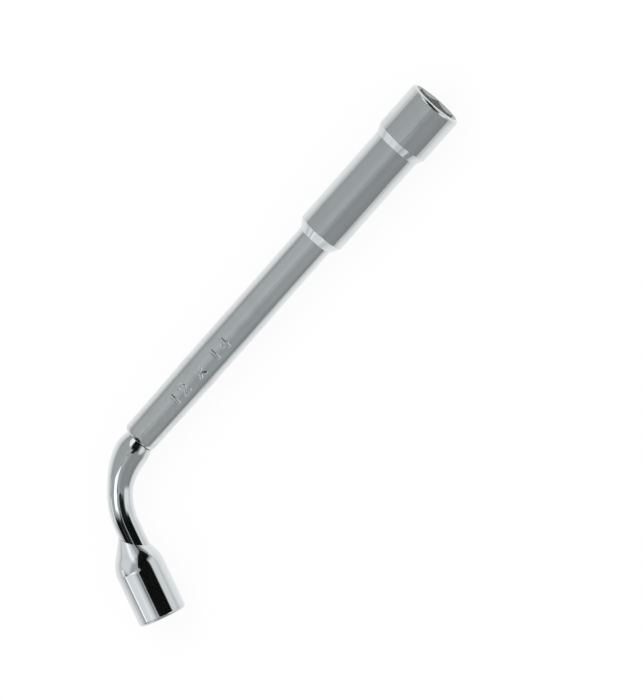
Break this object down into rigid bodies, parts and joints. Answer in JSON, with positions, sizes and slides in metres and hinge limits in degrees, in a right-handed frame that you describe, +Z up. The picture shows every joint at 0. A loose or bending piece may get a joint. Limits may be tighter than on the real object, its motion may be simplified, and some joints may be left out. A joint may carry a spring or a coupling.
{
  "type": "l-shaped socket wrench",
  "caption": "Chrome L-shaped socket wrench: a round shank bent near its end, with a hexagon socket at each end, the straight one deep enough for long studs.",
  "frame": {"origin": "on the surface that the wrench lies on, below the middle of its outline", "axes": "+X along the long arm towards the straight socket, -Y towards the side that the short arm turns to, +Z up from the surface"},
  "size_m": [0.2038, 0.0598, 0.02],
  "materials": {
    "chrome_plate": "bright chrome plate on polished steel"
  },
  "bodies": {
    "root": {"straight_socket": "chrome_plate", "socket_sleeve": "chrome_plate", "shank_bar": "chrome_plate", "bent_neck": "chrome_plate", "bent_socket": "chrome_plate"}
  },
  "joints": []
}
